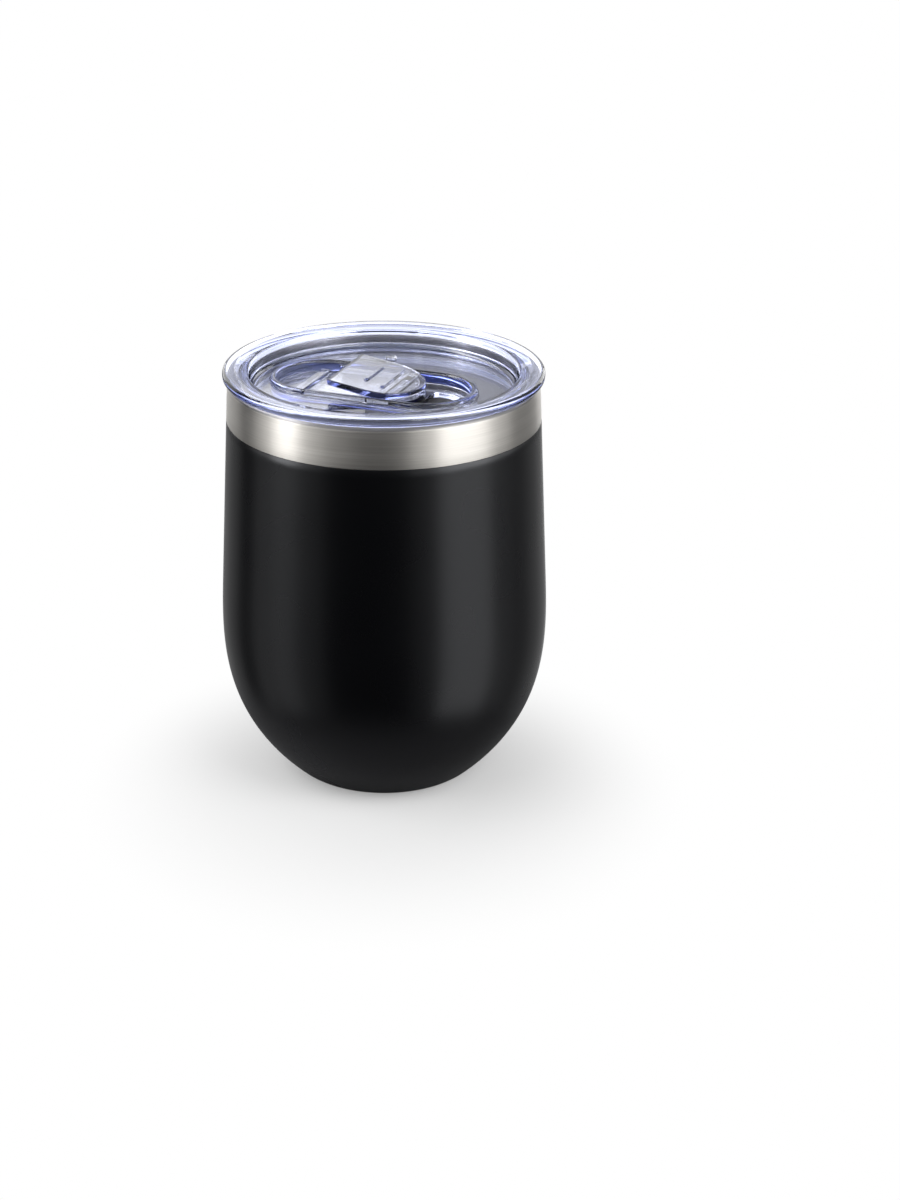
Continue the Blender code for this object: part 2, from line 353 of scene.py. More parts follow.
@dataclass(frozen=True)
class ClearCopolyester:
    """Injection moulded clear copolyester, with the faint blue-violet toner such lids have.

    The tint gathers where the eye looks along a wall, at rims and edges. Moulding leaves a slow
    waviness of about 9 mm in the surface, which bends reflections slightly.
    """

    name: str = "clear_copolyester"
    ior: float = 1.54
    roughness: float = 0.02
    tint: str = "#A8B9F6"
    tint_density: float = 85.0
    wave_length: float = 9.0
    wave_relief: float = 0.008

    def material(self) -> bpy.types.Material:
        """Builds the node material.

        Returns:
            The material.
        """
        material, tree = empty_material(self.name)
        place = add_node(tree, "ShaderNodeTexCoord").outputs["Object"]
        wave = add_node(
            tree,
            "ShaderNodeTexNoise",
            sockets={"Vector": place, "Scale": 1 / (self.wave_length * MM), "Detail": 1.0},
        ).outputs["Fac"]
        roughness = add_node(
            tree,
            "ShaderNodeMapRange",
            sockets={"Value": wave, "To Min": self.roughness / 2, "To Max": self.roughness * 1.5},
        ).outputs["Result"]
        bump = add_node(
            tree,
            "ShaderNodeBump",
            sockets={"Height": wave, "Distance": self.wave_relief * MM, "Strength": 1.0},
        ).outputs["Normal"]
        shader = add_node(
            tree,
            "ShaderNodeBsdfPrincipled",
            sockets={
                "Base Color": linear("#FFFFFF"),
                "Roughness": roughness,
                "IOR": self.ior,
                "Transmission Weight": 1.0,
                "Normal": bump,
            },
        )
        tint = add_node(
            tree,
            "ShaderNodeVolumeAbsorption",
            sockets={"Color": linear(self.tint), "Density": self.tint_density},
        )
        add_node(
            tree,
            "ShaderNodeOutputMaterial",
            sockets={"Surface": shader.outputs["BSDF"], "Volume": tint.outputs["Volume"]},
        )
        return material


@dataclass(frozen=True)
class MouldedSilicone:
    """Translucent food silicone, moulded: milky, soft to the eye, with a light dusting of haze."""

    colour: str = "#C9CCD4"
    ior: float = 1.41
    clearness: float = 0.5
    roughness: float = 0.38
    roughness_swing: float = 0.05
    grain: float = 0.5

    def material(self) -> bpy.types.Material:
        """Builds the node material.

        Returns:
            The material.
        """
        material, tree = empty_material("translucent_silicone")
        place = add_node(tree, "ShaderNodeTexCoord").outputs["Object"]
        haze = add_node(
            tree,
            "ShaderNodeTexNoise",
            sockets={"Vector": place, "Scale": 1 / (self.grain * MM), "Detail": 2.0},
        ).outputs["Fac"]
        roughness = add_node(
            tree,
            "ShaderNodeMapRange",
            sockets={
                "Value": haze,
                "To Min": self.roughness - self.roughness_swing,
                "To Max": self.roughness + self.roughness_swing,
            },
        ).outputs["Result"]
        shader = add_node(
            tree,
            "ShaderNodeBsdfPrincipled",
            sockets={
                "Base Color": linear(self.colour),
                "Roughness": roughness,
                "IOR": self.ior,
                "Transmission Weight": self.clearness,
            },
        )
        add_node(tree, "ShaderNodeOutputMaterial", sockets={"Surface": shader.outputs["BSDF"]})
        return material


def fillet_path(corners: Sequence[Triple], closed: bool = False) -> list[Point]:
    """Rounds the corners of a polyline.

    A spare point before and after each round keeps the flats flat under smooth shading.

    Args:
        corners: Points as (x, y, radius). A radius of 0 keeps the corner.
        closed: Whether the last point joins the first.

    Returns:
        The points of the rounded line.
    """
    spare = 0.08
    count = len(corners)
    path: list[Point] = []
    for index, (x, y, radius) in enumerate(corners):
        if radius == 0 or (not closed and index in (0, count - 1)):
            path.append((x, y))
            continue
        here = Vector((x, y))
        back = (Vector(corners[index - 1][:2]) - here).normalized()
        onward = (Vector(corners[(index + 1) % count][:2]) - here).normalized()
        half = back.angle(onward) / 2
        cut = radius / math.tan(half)
        centre = here + (back + onward).normalized() * (radius / math.sin(half))
        start = (here + back * cut - centre).normalized()
        end = (here + onward * cut - centre).normalized()
        steps = 2 if radius < 0.2 else 4 if radius < 0.7 else 7
        path.append(tuple(here + back * (cut + spare)))
        path.extend(tuple(centre + start.slerp(end, s / steps) * radius) for s in range(steps + 1))
        path.append(tuple(here + onward * (cut + spare)))
    return path


def spun(profile: Sequence[Point], closed: bool = False) -> bmesh.types.BMesh:
    """Spins a profile of (radius, height) in millimetres into a solid of revolution.

    Args:
        profile: The points, from the axis to the axis, or round a ring's section.
        closed: Whether the section is a closed ring.

    Returns:
        The bmesh, in metres, with its faces pointing out.
    """
    shape = bmesh.new()
    points = [shape.verts.new((r * MM, 0.0, z * MM)) for r, z in profile]
    edges = [shape.edges.new(pair) for pair in zip(points, points[1:])]
    if closed:
        edges.append(shape.edges.new((points[-1], points[0])))
    bmesh.ops.spin(
        shape,
        geom=points + edges,
        cent=(0, 0, 0),
        axis=(0, 0, 1),
        angle=math.tau,
        steps=TURN_STEPS,
        use_merge=True,
    )
    bmesh.ops.remove_doubles(shape, verts=shape.verts, dist=0.001 * MM)
    bmesh.ops.recalc_face_normals(shape, faces=shape.faces)
    return shape


def lofted_ring(stations: Sequence[Sequence[Vector]]) -> bmesh.types.BMesh:
    """Extrudes a closed loop from station to station and joins the last to the first.

    Args:
        stations: Loops with the same number of points each, in metres.

    Returns:
        A closed bmesh with one hole through it.
    """
    shape = bmesh.new()
    first = [shape.verts.new(p) for p in stations[0]]
    loop = first
    edges = [shape.edges.new(pair) for pair in zip(loop, loop[1:] + loop[:1])]
    for station in stations[1:]:
        grown = bmesh.ops.extrude_edge_only(shape, edges=edges)["geom"]
        fresh = {v for v in grown if isinstance(v, bmesh.types.BMVert)}
        edges = [e for e in grown if isinstance(e, bmesh.types.BMEdge) and set(e.verts) <= fresh]
        onward = {
            v: e.other_vert(v) for v in loop for e in v.link_edges if e.other_vert(v) in fresh
        }
        loop = [onward[v] for v in loop]
        for vertex, place in zip(loop, station):
            vertex.co = place
    bmesh.ops.bridge_loops(
        shape, edges=edges + [shape.edges.get(pair) for pair in zip(first, first[1:] + first[:1])]
    )
    bmesh.ops.recalc_face_normals(shape, faces=shape.faces)
    return shape


def prism(outline: Sequence[Triple], way: Triple) -> bmesh.types.BMesh:
    """Extrudes a flat outline along a straight way.

    Args:
        outline: The points, in millimetres.
        way: How far the outline moves, in millimetres.

    Returns:
        The closed bmesh, in metres.
    """
    shape = bmesh.new()
    face = shape.faces.new([shape.verts.new(Vector(place) * MM) for place in outline])
    grown = bmesh.ops.extrude_face_region(shape, geom=[face])["geom"]
    far = [v for v in grown if isinstance(v, bmesh.types.BMVert)]
    bmesh.ops.translate(shape, vec=Vector([step * MM for step in way]), verts=far)
    bmesh.ops.recalc_face_normals(shape, faces=shape.faces)
    return shape


def new_piece(
    name: str, shape: bmesh.types.BMesh, material: bpy.types.Material, sharp: float = 40.0
) -> bpy.types.Object:
    """Writes a bmesh to a smooth-shaded object at the origin.

    Args:
        name: The piece's name.
        shape: The bmesh, which is freed.
        material: Its finish.
        sharp: The angle in degrees past which an edge stays crisp.

    Returns:
        The object.
    """
    mesh = bpy.data.meshes.new(name)
    shape.to_mesh(mesh)
    shape.free()
    mesh.materials.append(material)
    mesh.shade_smooth()
    mesh.set_sharp_from_angle(angle=math.radians(sharp))
    piece = bpy.data.objects.new(name, mesh)
    bpy.context.scene.collection.objects.link(piece)
    return piece


def mount_piece(piece: bpy.types.Object, body: Body, slot: Slot, *nodes: str) -> None:
    """Lets a piece ride on its body and stand for its nodes, and logs it.

    Args:
        piece: The piece.
        body: The body that it moves with.
        slot: Not used.
        *nodes: The CAD nodes that it replaces.
    """
    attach(piece, body.value)
    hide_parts(*nodes)
    LOG.info("%s rides on %s, %d faces", piece.name, body.value, len(piece.data.polygons))


def apply_modifiers(piece: bpy.types.Object) -> None:
    """Bakes a piece's modifiers into its mesh.

    Args:
        piece: The piece.
    """
    graph = bpy.context.evaluated_depsgraph_get()
    mesh = bpy.data.meshes.new_from_object(piece.evaluated_get(graph))
    piece.modifiers.clear()
    piece.data = mesh


def combine(piece: bpy.types.Object, shape: bmesh.types.BMesh, merge: Merge) -> None:
    """Joins, cuts or intersects a piece with another shape.

    Args:
        piece: The piece.
        shape: The other shape, which is used up.
        merge: What the other shape does to the piece.
    """
    mesh = bpy.data.meshes.new("helper")
    shape.to_mesh(mesh)
    shape.free()
    helper = bpy.data.objects.new("helper", mesh)
    bpy.context.scene.collection.objects.link(helper)
    boolean = piece.modifiers.new("combine", "BOOLEAN")
    boolean.operation = merge.value
    boolean.object = helper
    bpy.context.view_layer.update()
    apply_modifiers(piece)
    bpy.data.objects.remove(helper)


def round_edges(piece: bpy.types.Object, width: float) -> None:
    """Rounds every crisp edge of a piece, as a mould does.

    Args:
        piece: The piece.
        width: The round's size, in millimetres.
    """
    bevel = piece.modifiers.new("rounded", "BEVEL")
    bevel.width = width * MM
    bevel.segments = 3
    bevel.limit_method = "ANGLE"
    bevel.angle_limit = math.radians(CRISP_ANGLE)
    bevel.use_clamp_overlap = False
    bevel.harden_normals = True
    bpy.context.view_layer.update()
    apply_modifiers(piece)


@dataclass
class Cup:
    """The steel vessel and its powder coat, both turned about Z."""

    steel: BrushedSteel
    coat: PowderCoat
    mouth_radius: float = 40.7
    mouth_height: float = 110.7
    taper: float = 0.0532
    round_height: float = 57.0
    round_power: float = 3.1
    foot_radius: float = 24.65
    corner_height: float = 1.86
    corner_depth: float = 1.55
    lip_radius: float = 1.2
    wall: float = 4.6
    thin_wall_height: float = 101.0
    full_wall_height: float = 86.0
    band_edge: float = 100.2
    coat_bottom: float = 0.45
    coat_gap: float = 0.02
    coat_thickness: float = 0.5
    covered_depth: float = 0.4
    band_heights: tuple[float, float] = (106.0, 103.0)
    # The small step from the band down to the covered wall: inwards and upwards.
    band_step: Point = (0.04, 0.03)
    band_end: float = 0.15
    # Depth under the surface and below the top, round the coat's top edge.
    coat_edge: tuple[Point, ...] = ((0.5, 0.1), (0.2, 0.0), (0.06, 0.05))
    coat_edge_height: float = 0.18
    inner_bottom: float = 8.0
    inner_corner_height: float = 20.0
    inner_corner_reach: float = 12.6
    ring_width: float = 5.0
    recess: float = 1.4

    def outer_radius(self, height: float) -> float:
        """The cup's outer radius: a straight taper, rounded towards the foot.

        Args:
            height: The height.

        Returns:
            The radius.
        """
        line = self.mouth_radius + self.taper * (self.mouth_height - height)
        drop = self.mouth_radius + self.taper * self.mouth_height - self.foot_radius
        rounded = drop * max(0.0, 1 - height / self.round_height) ** self.round_power
        corner = self.corner_depth * max(0.0, 1 - height / self.corner_height) ** 2
        return line - rounded - corner

    def inner_radius(self, height: float) -> float:
        """The liner's radius: a thin wall at the mouth, the full double wall below.

        Args:
            height: The height.

        Returns:
            The radius.
        """
        mouth = self.mouth_radius - 2 * self.lip_radius
        share = (self.thin_wall_height - height) / (self.thin_wall_height - self.full_wall_height)
        share = min(1.0, max(0.0, share))
        smooth = share * share * (3 - 2 * share)
        return mouth * (1 - smooth) + (self.outer_radius(height) - self.wall) * smooth

    def liner_profile(self) -> list[Point]:
        """The inside of the cup.

        Returns:
            Points of (radius, height) from the middle of its bottom up to the lip.
        """
        corner_radius = self.inner_radius(self.inner_corner_height)
        flat = corner_radius - self.inner_corner_reach
        rise = self.inner_corner_height - self.inner_bottom
        points = [(0.0, self.inner_bottom), (flat / 2, self.inner_bottom)]
        corner_steps = 12
        for step in range(corner_steps + 1):
            angle = math.pi / 2 * step / corner_steps
            reach = flat + (corner_radius - flat) * math.sin(angle)
            points.append((reach, self.inner_corner_height - rise * math.cos(angle)))
        steps = 40
        top = self.thin_wall_height
        for step in range(1, steps + 1):
            height = self.inner_corner_height + (top - self.inner_corner_height) * step / steps
            points.append((self.inner_radius(height), height))
        return points

    def lip_profile(self) -> list[Point]:
        """The rolled lip.

        Returns:
            Points of (radius, height) from the inside over to the outside.
        """
        centre = (self.mouth_radius - self.lip_radius, self.mouth_height - self.lip_radius)
        steps = 12
        return [
            (
                centre[0] - self.lip_radius * math.cos(math.pi * step / steps),
                centre[1] + self.lip_radius * math.sin(math.pi * step / steps),
            )
            for step in range(steps + 1)
        ]

    def coated_heights(self, top: float) -> list[float]:
        """Heights down the coated wall, closer together towards the foot.

        Args:
            top: The first height.

        Returns:
            The heights, down to the coat's bottom.
        """
        steps = 70
        return [
            self.coat_bottom + (top - self.coat_bottom) * (1 - step / steps) ** 1.5
            for step in range(steps + 1)
        ]

    def vessel_profile(self) -> list[Point]:
        """The steel: liner, lip, bare band, the wall under the coat, and the foot.

        Returns:
            Points of (radius, height) from the axis inside to the axis underneath.
        """
        edge = self.band_edge
        band = [(self.outer_radius(z), z) for z in (*self.band_heights, edge + self.band_end)]
        band += [(self.outer_radius(edge) - self.band_step[0], edge + self.band_step[1])]
        heights = self.coated_heights(edge)
        covered = [(self.outer_radius(z) - self.covered_depth, z) for z in heights]
        ring = self.outer_radius(0.0) - self.coat_thickness
        inside = ring - self.ring_width
        foot = fillet_path(
            [
                (ring + 0.9, self.coat_bottom, 0),
                (ring, 0.0, 0.15),
                (inside, 0.0, 0.3),
                (inside - 0.7, self.recess, 0.5),
                (0.0, self.recess, 0),
            ]
        )
        return self.liner_profile() + self.lip_profile() + band + covered + foot[1:]

    def coat_profile(self) -> list[Point]:
        """The coat: a thin skin with a soft top edge.

        Returns:
            The closed section as points of (radius, height).
        """
        top = self.band_edge - self.coat_gap
        edge = [(self.outer_radius(top) - depth, top - drop) for depth, drop in self.coat_edge]
        heights = self.coated_heights(top - self.coat_edge_height)
        outside = [(self.outer_radius(z), z) for z in heights]
        inside = [(self.outer_radius(z) - self.coat_thickness, z) for z in reversed(heights)]
        return edge + outside + inside

    def build(self) -> None:
        """Makes both pieces in place of their nodes."""
        vessel = new_piece("steel_vessel", spun(self.vessel_profile()), self.steel.material())
        mount_piece(vessel, Body.TUMBLER, Slot.STEEL, "vessel")
        coat = new_piece(
            "coat_skin", spun(self.coat_profile(), closed=True), self.coat.material()
        )
        mount_piece(coat, Body.TUMBLER, Slot.POWDER_COAT, "powder_coat_shell")


@dataclass
class Track:
    """The slot with round ends in the lid's floor, along X."""

    left: float = -29.6
    right: float = 23.4
    half_width: float = 12.3
    floor: float = 104.6
    base: float = 103.2
    border: float = 1.6
    border_top: float = 109.2
    border_round: float = 0.6
    flat_run: float = 0.6
    rail_reach: float = 1.1
    rail_slope: float = 0.2
    rail_round: float = 0.15
    rail_ends: tuple[float, float] = (-20.0, 0.0)
    rail_heights: tuple[float, float] = (106.9, 108.1)
    rail_run_out: float = 0.9

    def spine(self, share: float) -> tuple[Vector, Vector]:
        """The nearest point on the track's middle line and the way out from it.

        Args:
            share: The place round the track, from 0 to 1, anticlockwise from its right tip.

        Returns:
            The point and the unit direction.
        """
        ends = (self.left + self.half_width, self.right - self.half_width)
        turn = share * 6
        if turn < 1 or turn >= 5:
            angle = turn * math.pi / 2 if turn < 1 else (turn - 6) * math.pi / 2
            return Vector((ends[1], 0)), Vector((math.cos(angle), math.sin(angle)))
        if turn < 2:
            return Vector((ends[1] + (ends[0] - ends[1]) * (turn - 1), 0)), Vector((0, 1))
        if turn < 4:
            angle = math.pi / 2 * (turn - 1)
            return Vector((ends[0], 0)), Vector((math.cos(angle), math.sin(angle)))
        return Vector((ends[0] + (ends[1] - ends[0]) * (turn - 4), 0)), Vector((0, -1))

    def rail_share(self, x: float) -> float:
        """How much of the retaining rail stands out.

        Args:
            x: The place along the track.

        Returns:
            1 along the rail, running out to 0 past its ends.
        """
        inside = min(x - self.rail_ends[0], self.rail_ends[1] - x)
        return min(1.0, max(0.0, inside / self.rail_run_out + 0.5))

    def loop(self, reach: float, height: float) -> list[Vector]:
        """A loop round the track.

        Args:
            reach: Distance out from the track's wall. Less than 0 is inside it.
            height: The loop's height.

        Returns:
            The points, in metres.
        """
        points = []
        for index in range(TURN_STEPS):
            centre, way = self.spine(index / TURN_STEPS)
            shown = reach
            if reach < 0 and height > self.rail_heights[0] - 0.3:
                straight = abs(way.y) == 1
                shown = reach * (self.rail_share(centre.x) if straight else 0.0)
            place = centre + way * (self.half_width + shown)
            points.append(Vector((place.x, place.y, height)) * MM)
        return points


@dataclass
class DrinkHole:
    """The hole in the track's floor: straight at the closure's side, round towards the rim."""

    left: float = 10.2
    right: float = 21.9
    half_width: float = 10.2
    corner: float = 1.6
    edge_round: float = 0.3
    ledge: float = 0.5

    def loop(self, reach: float, height: float) -> list[Vector]:
        """A loop round the hole, with points that match the track's.

        Args:
            reach: Distance out from the hole's wall.
            height: The loop's height.

        Returns:
            The points, in metres.
        """
        points = []
        middle = self.left + self.corner
        for index in range(TURN_STEPS):
            turn = index / TURN_STEPS * 6
            side = 1 if turn < 3 else -1
            turn = min(turn, 6 - turn)
            if turn < 1:
                angle = turn * math.pi / 2
                x = middle + (self.right - middle + reach) * math.cos(angle)
                y = (self.half_width + reach) * math.sin(angle)
            elif turn < 2:
                angle = math.pi / 2 * turn
                x = middle + (self.corner + reach) * math.cos(angle)
                y = self.half_width - self.corner + (self.corner + reach) * math.sin(angle)
            else:
                x = self.left - reach
                y = (self.half_width - self.corner) * (3 - turn)
            points.append(Vector((x, side * y, height)) * MM)
        return points


def circle_loop(radius: float, height: float) -> list[Vector]:
    """A circle about Z.

    Args:
        radius: Its radius, in millimetres.
        height: Its height, in millimetres.

    Returns:
        The points in metres, anticlockwise from +X.
    """
    turn = math.tau / TURN_STEPS
    return [
        Vector((radius * math.cos(turn * i), radius * math.sin(turn * i), height)) * MM
        for i in range(TURN_STEPS)
    ]


@dataclass
class Lid:
    """The clear press-in lid: one closed surface that winds round its drink hole."""

    finish: ClearCopolyester
    track: Track = field(default_factory=Track)
    hole: DrinkHole = field(default_factory=DrinkHole)
    flange_radius: float = 41.9
    flange_top: float = 113.6
    flange_bottom: float = 111.0
    flange_slope: float = 4.0
    flange_round: float = 1.15
    well_radius: float = 34.6
    well_round: float = 1.3
    skirt_radius: float = 37.3
    skirt_bottom: float = 102.6
    floor_top: float = 108.0
    floor_bottom: float = 105.8
    groove_top: float = 108.6
    groove_bottom: float = 105.0
    groove_radius: float = 36.3
    groove_round: float = 0.1
    nub_place: Point = (-7.1, 22.9)
    nub_size: Triple = (2.6, 2.0, 0.7)
    nub_sunk: float = 0.3
    nub_round: float = 0.2

    def hole_stations(self) -> list[list[Vector]]:
        """Up through the drink hole's wall.

        Returns:
            The loops.
        """
        ledge, edge_round = self.hole.ledge, self.hole.edge_round
        corners = [
            (ledge, self.track.base, 0.0),
            (0.0, self.track.base, edge_round),
            (0.0, self.track.floor, edge_round),
            (ledge, self.track.floor, 0.0),
        ]
        return [self.hole.loop(reach, height) for reach, height in fillet_path(corners)]

    def track_stations(self) -> list[list[Vector]]:
        """Across the track's floor, up its wall past the rails, and over the raised border.

        Returns:
            The loops.
        """
        track = self.track
        low, high = track.rail_heights
        corners = [
            (-track.flat_run, track.floor, 0.0),
            (0.0, track.floor, 0.4),
            (0.0, low - track.rail_slope, 0.0),
            (-track.rail_reach, low, track.rail_round),
            (-track.rail_reach, high, track.rail_round),
            (0.0, high + track.rail_slope, 0.0),
            (0.0, track.border_top, track.border_round),
            (track.border, track.border_top, track.border_round),
            (track.border, self.floor_top, 0.3),
            (track.border + track.flat_run, self.floor_top, 0.0),
        ]
        return [track.loop(reach, height) for reach, height in fillet_path(corners)]

    def turned_stations(self) -> list[list[Vector]]:
        """From the floor up the well, over the flange and down round the grooved skirt.

        Returns:
            The loops.
        """
        corners = [
            (self.well_radius - 1.9, self.floor_top, 0.0),
            (self.well_radius, self.floor_top, self.well_round),
            (self.well_radius + 0.7, self.flange_top - 0.7, 0.9),
            (self.well_radius + self.flange_slope, self.flange_top, 1.5),
            (self.flange_radius, self.flange_top, self.flange_round),
            (self.flange_radius, self.flange_bottom, self.flange_round),
            (self.skirt_radius, self.flange_bottom, 0.3),
            (self.skirt_radius, self.groove_top, self.groove_round),
            (self.groove_radius, self.groove_top, self.groove_round),
            (self.groove_radius, self.groove_bottom, self.groove_round),
            (self.skirt_radius, self.groove_bottom, self.groove_round),
            (self.skirt_radius, self.skirt_bottom, 0.6),
            (self.skirt_radius - 2.1, self.skirt_bottom, 0.25),
            (self.skirt_radius - 2.4, self.floor_bottom, 0.5),
            (self.skirt_radius - 3.6, self.floor_bottom, 0.0),
        ]
        return [circle_loop(radius, height) for radius, height in fillet_path(corners)]

    def tub_stations(self) -> list[list[Vector]]:
        """Down the outside of the track's tub and across under it.

        Returns:
            The loops.
        """
        track = self.track
        corners = [
            (track.border + 0.9, self.floor_bottom, 0.0),
            (track.border, self.floor_bottom, 0.4),
            (track.border, track.base, 0.4),
            (0.4, track.base, 0.0),
        ]
        return [track.loop(reach, height) for reach, height in fillet_path(corners)]

    def add_nub(self, shape: bmesh.types.BMesh) -> None:
        """Adds the small moulded nub that stands on the floor behind the track.

        Args:
            shape: The lid's bmesh.
        """
        width, depth, rise = self.nub_size
        sunk = self.nub_sunk
        nub = bmesh.ops.create_cube(shape, size=1.0)["verts"]
        bmesh.ops.scale(shape, vec=Vector((width, depth, rise + sunk)) * MM, verts=nub)
        middle = self.floor_top + (rise - sunk) / 2
        bmesh.ops.translate(shape, vec=Vector((*self.nub_place, middle)) * MM, verts=nub)
        edges = list(dict.fromkeys(e for v in nub for e in v.link_edges))
        bmesh.ops.bevel(
            shape,
            geom=edges,
            offset=self.nub_round * MM,
            offset_type="OFFSET",
            segments=3,
            profile=0.5,
            affect="EDGES",
            material=-1,
        )

    def build(self) -> None:
        """Makes the lid in place of its node."""
        stations = self.hole_stations() + self.track_stations()
        stations += self.turned_stations() + self.tub_stations()
        shape = lofted_ring(stations)
        self.add_nub(shape)
        piece = new_piece("clear_lid", shape, self.finish.material())
        mount_piece(piece, Body.TUMBLER, Slot.CLEAR_LID, "lid")


@dataclass
class Gasket:
    """The silicone ring in the skirt's groove, with two soft fins against the liner."""

    finish: MouldedSilicone
    inner: float = 36.6
    body: float = 37.4
    reach: float = 38.0
    low: float = 105.3
    high: float = 108.3
    fin: float = 0.5
    edge_round: float = 0.15

    def build(self) -> None:
        """Makes the ring in place of its node."""
        section = fillet_path(
            [
                (self.inner, self.high, self.edge_round),
                (self.body, self.high, self.edge_round),
                (self.reach, self.high - self.fin, self.edge_round),
                (self.body, self.high - 2 * self.fin, self.edge_round),
                (self.body, self.low + 2 * self.fin, self.edge_round),
                (self.reach, self.low + self.fin, self.edge_round),
                (self.body, self.low, self.edge_round),
                (self.inner, self.low, self.edge_round),
            ],
            closed=True,
        )
        piece = new_piece("seal_ring", spun(section, closed=True), self.finish.material())
        mount_piece(piece, Body.TUMBLER, Slot.SILICONE, "gasket")


@dataclass
class Slider:
    """The sliding closure: a plate in the track, a block at its right and an overhanging flap."""

    finish: ClearCopolyester
    left: float = -29.2
    length: float = 40.0
    half_width: float = 11.9
    bottom: float = 104.9
    plate_top: float = 106.5
    block_left: float = 5.2
    block_top: float = 109.4
    skin: float = 1.5
    cavity_top: float = 108.0
    cavity_gap: float = 0.02
    cavity_lead: float = 2.5
    flap_left: float = -11.2
    flap_top: float = 112.2
    flap_thickness: float = 1.5
    ribs: tuple[Point, ...] = ((-2.8, 11.0), (2.4, 15.0))
    rib_width: float = 1.0
    rib_height: float = 0.6
    bar_place: float = -20.5
    bar_size: Triple = (2.7, 19.0, 1.0)
    edge_round: float = 0.3
    end_steps: int = 28
    # How far the helper shapes stand past the closure.
    spare_width: float = 3.0
    spare_height: float = 1.0

    def round_end(self, middle: float, radius: float, start: float) -> list[Point]:
        """Half a circle of the closure's outline.

        Args:
            middle: Its centre along the closure.
            radius: Its radius.
            start: Its first angle, in degrees.

        Returns:
            The points.
        """
        steps = self.end_steps
        angles = [math.radians(start + 180 * step / steps) for step in range(steps + 1)]
        return [(middle + radius * math.cos(a), radius * math.sin(a)) for a in angles]

    def blank(self) -> bmesh.types.BMesh:
        """The closure's outline from above, extruded past its height.

        Returns:
            The bmesh.
        """
        right = self.round_end(self.left + self.length - self.half_width, self.half_width, -90)
        left = self.round_end(self.left + self.half_width, self.half_width, 90)
        low, high = self.bottom - self.spare_height, self.flap_top + self.spare_height
        return prism([(x, y, low) for x, y in right + left], (0, 0, high - low))

    def cavity(self) -> bmesh.types.BMesh:
        """The hollow inside the block's skin, open to the left.

        Returns:
            The bmesh.
        """
        low = self.plate_top + self.cavity_gap
        radius = self.half_width - self.skin
        right = self.round_end(self.left + self.length - self.half_width, radius, -90)
        back = self.block_left - self.cavity_lead
        outline = [(back, -radius), *right, (back, radius)]
        return prism([(x, y, low) for x, y in outline], (0, 0, self.cavity_top - low))

    def side_prism(self) -> bmesh.types.BMesh:
        """The closure's outline from the side, extruded past its width.

        Returns:
            The bmesh.
        """
        right = self.left + self.length + self.spare_width
        left = self.left - self.spare_width
        outline = fillet_path(
            [
                (left, self.bottom, 0),
                (right, self.bottom, 0),
                (right, self.block_top, 0),
                (self.block_left + 1.5, self.block_top + 0.2, 6.0),
                (self.flap_left, self.flap_top, 0),
                (self.flap_left + 0.2, self.flap_top - self.flap_thickness, 0),
                (self.block_left - 1.8, self.cavity_top + 0.2, 1.0),
                (self.block_left, self.cavity_top - 0.8, 0.4),
                (self.block_left + 0.2, self.plate_top, 0),
                (left, self.plate_top, 0),
            ]
        )
        reach = self.half_width + self.spare_width
        return prism([(x, -reach, z) for x, z in outline], (0, 2 * reach, 0))

    def ridge(self, x: float, top: float, size: Triple, tilt: float) -> bmesh.types.BMesh:
        """A straight ridge across the closure, half sunk into it.

        Args:
            x: Its place along the closure.
            top: The height of the surface it stands on.
            size: Its width, length and height.
            tilt: The surface's slope, as an angle about Y.

        Returns:
            The bmesh of the ridge.
        """
        shape = bmesh.new()
        bmesh.ops.create_cube(shape, size=1.0)
        bmesh.ops.scale(shape, vec=Vector((size[0], size[1], 2 * size[2])) * MM, verts=shape.verts)
        turn = Matrix.Rotation(tilt, 4, "Y")
        bmesh.ops.transform(shape, matrix=turn, verts=shape.verts)
        bmesh.ops.translate(shape, vec=Vector((x, 0, top)) * MM, verts=shape.verts)
        return shape

    def build(self) -> None:
        """Makes the closure in place of its node."""
        material = self.finish.material()
        piece = new_piece("clear_closure", self.blank(), material)
        slope = (self.flap_top - self.block_top - 0.2) / (self.block_left + 1.5 - self.flap_left)
        helpers = [(self.side_prism(), Merge.KEEP_COMMON), (self.cavity(), Merge.CUT)]
        for place, length in self.ribs:
            top = self.flap_top - slope * (place - self.flap_left)
            size = (self.rib_width, length, self.rib_height)
            helpers.append((self.ridge(place, top, size, math.atan(slope)), Merge.JOIN))
        bar = self.ridge(self.bar_place, self.plate_top, self.bar_size, 0.0)
        helpers.append((bar, Merge.JOIN))
        for shape, merge in helpers:
            combine(piece, shape, merge)
        round_edges(piece, self.edge_round)
        mount_piece(piece, Body.SLIDER, Slot.CLEAR_SLIDER, "slider")


